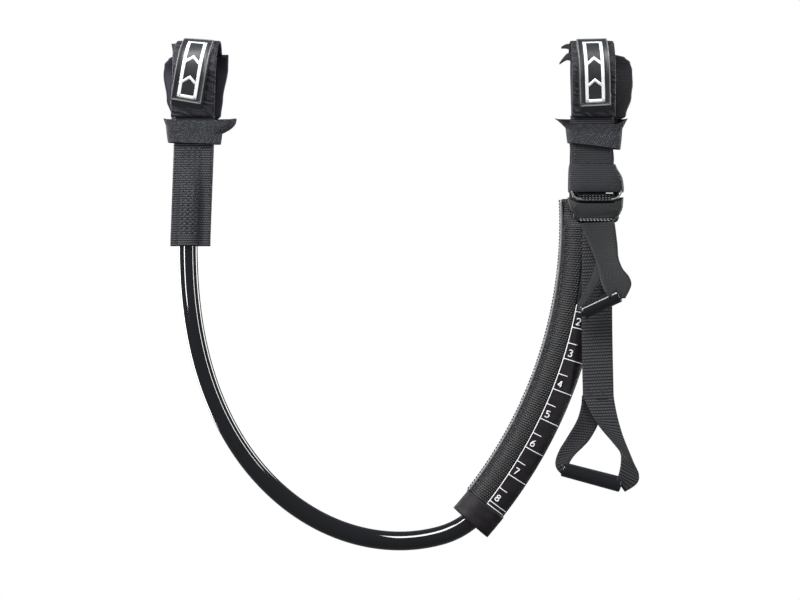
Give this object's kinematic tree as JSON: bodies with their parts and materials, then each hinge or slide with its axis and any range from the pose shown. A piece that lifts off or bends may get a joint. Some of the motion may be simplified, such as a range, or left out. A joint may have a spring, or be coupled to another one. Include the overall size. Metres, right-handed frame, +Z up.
{
  "type": "windsurf harness line",
  "caption": "Adjustable harness line for a windsurf boom: a tube line between two strap loops, with a scale sleeve, ladder buckle and pull handles.",
  "frame": {"origin": "centre of the right-hand boom strap's loop, which is the end with the buckle", "axes": "+X to the right along the boom, +Y to the back, away from the closing straps, +Z up"},
  "size_m": [0.3076, 0.0506, 0.3329],
  "materials": {
    "webbing_black": "ribbed webbing",
    "strap_satin": "smooth satin weave",
    "pad_dark": "smooth laminated foam",
    "lining_grip": "grippy knit",
    "hook_tape": "hook and loop tape",
    "badge_rubber": "satin moulded rubber with a white mark",
    "keeper_elastic": "ribbed elastic with grey pile",
    "tube_black": "glossy polyurethane",
    "line_core": "braided line",
    "sleeve_ribbed": "ribbed fabric",
    "sleeve_print": "smooth fabric with a white printed scale",
    "piping_grey": "stitched piping",
    "hem_fabric": "folded hem",
    "buckle_plastic": "moulded, satin",
    "grip_tube": "glossy soft tube"
  },
  "bodies": {
    "anchor": {"right_boom_lining": "lining_grip", "right_boom_pad": "pad_dark", "right_strap_root": "strap_satin", "right_end_webbing": "webbing_black", "sleeve_strap": "webbing_black", "sleeve_ribbed_panel": "sleeve_ribbed", "scale_panel": "sleeve_print", "sleeve_piping": "piping_grey", "sleeve_hem": "hem_fabric", "load_line_upper": "line_core", "buckle_cover_band": "webbing_black"},
    "right_flap": {"right_closing_strap": "strap_satin", "right_hook_patch": "hook_tape", "right_strap_badge": "badge_rubber"},
    "right_keeper_band": {"right_keeper": "keeper_elastic"},
    "line": {"line_tube": "tube_black", "load_line": "line_core", "left_boom_lining": "lining_grip", "left_boom_pad": "pad_dark", "left_strap_root": "strap_satin", "left_end_webbing": "webbing_black"},
    "left_flap": {"left_closing_strap": "strap_satin", "left_hook_patch": "hook_tape", "left_strap_badge": "badge_rubber"},
    "left_keeper_band": {"left_keeper": "keeper_elastic"},
    "buckle": {"ladder_buckle": "buckle_plastic", "release_band": "webbing_black", "adjuster_turn": "webbing_black"},
    "tail": {"tail_upper": "webbing_black", "tail_webbing": "webbing_black"},
    "pull_handle": {"pull_loop": "webbing_black", "pull_loop_core": "webbing_black"},
    "pull_tube": {"pull_grip": "grip_tube"},
    "release_handle": {"release_strap": "webbing_black", "release_return": "webbing_black", "release_core": "webbing_black"},
    "release_tube": {"release_grip": "grip_tube"}
  },
  "joints": [
    {"name": "line_length", "type": "hinge", "parent": "anchor", "child": "line", "pos_m": [-0.3017, 0, -0.1004], "axis": [0, 1, 0], "range_deg": [0, 20.5]},
    {"name": "buckle_tilt", "type": "hinge", "parent": "anchor", "child": "buckle", "pos_m": [0.0013, -0.0026, -0.075], "axis": [-1, 0, 0], "range_deg": [0, 20]},
    {"name": "tail_swing", "type": "hinge", "parent": "buckle", "child": "tail", "pos_m": [0.0025, -0.0096, -0.1012], "axis": [-1, 0, 0], "range_deg": [0, 40]},
    {"name": "tail_travel", "type": "slide", "parent": "tail", "child": "pull_handle", "axis": [0, 0, 1], "range_m": [0, 0.106], "deforming": ["tail_webbing"]},
    {"name": "pull_grip_spin", "type": "hinge", "parent": "pull_handle", "child": "pull_tube", "pos_m": [-0.00195, -0.0128, -0.2652], "axis": [0.964, 0, -0.2659], "continuous": true},
    {"name": "release_swing", "type": "hinge", "parent": "tail", "child": "release_handle", "pos_m": [0.0025, -0.0096, -0.1012], "axis": [-1, 0, 0], "range_deg": [0, 30]},
    {"name": "release_grip_spin", "type": "hinge", "parent": "release_handle", "child": "release_tube", "pos_m": [0.0034, -0.0249, -0.1531], "axis": [0.8894, -0.1763, 0.4217], "continuous": true},
    {"name": "right_strap_open", "type": "hinge", "parent": "anchor", "child": "right_flap", "pos_m": [0, 0, 0.0176], "axis": [-1, 0, 0], "range_deg": [0, 110]},
    {"name": "left_strap_open", "type": "hinge", "parent": "line", "child": "left_flap", "pos_m": [-0.26019, 0, 0.0176], "axis": [-1, 0, 0], "range_deg": [0, 110]},
    {"name": "right_keeper_slide", "type": "slide", "parent": "anchor", "child": "right_keeper_band", "axis": [0, 0, -1], "range_m": [0, 0.01]},
    {"name": "left_keeper_slide", "type": "slide", "parent": "line", "child": "left_keeper_band", "axis": [0, 0, -1], "range_m": [0, 0.016]}
  ],
  "couplings": [
    {"joint": "tail_travel", "follows": "line_length", "m_per_rad": 0.2954}
  ]
}
